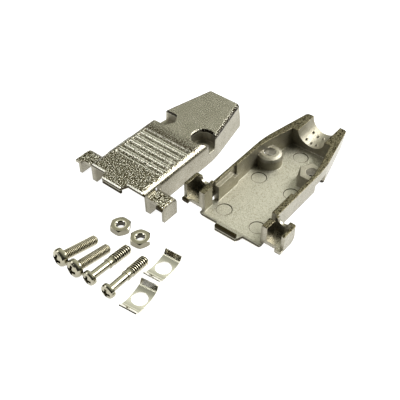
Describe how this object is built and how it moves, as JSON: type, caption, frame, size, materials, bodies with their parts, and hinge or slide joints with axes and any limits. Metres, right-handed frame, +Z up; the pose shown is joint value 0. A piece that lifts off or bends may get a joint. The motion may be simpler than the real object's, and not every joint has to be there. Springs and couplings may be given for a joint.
{
  "type": "d-sub connector hood",
  "caption": "Metal D-sub connector hood laid out in pieces: two cast half shells, clamp screws and nuts, jackscrews and bowed spring clips.",
  "frame": {"origin": "centre of the whole layout on the surface that the pieces lie on", "axes": "+Z up, +Y along the lower shell towards its cable end, +X across it"},
  "size_m": [0.0634, 0.0836, 0.0074],
  "materials": {
    "nickel_plated_zinc": "satin, as cast and nickel plated",
    "nickel_plated_steel": "bright nickel plate",
    "spring_steel": "polished nickel plate"
  },
  "bodies": {
    "root": {"clamp_screw_1": "nickel_plated_steel", "clamp_screw_2": "nickel_plated_steel", "hex_nut_1": "nickel_plated_steel", "hex_nut_2": "nickel_plated_steel", "jackscrew_1": "nickel_plated_steel", "jackscrew_2": "nickel_plated_steel", "lower_half_shell": "nickel_plated_zinc", "spring_clip_1": "spring_steel", "spring_clip_2": "spring_steel", "upper_half_shell": "nickel_plated_zinc"}
  },
  "joints": []
}
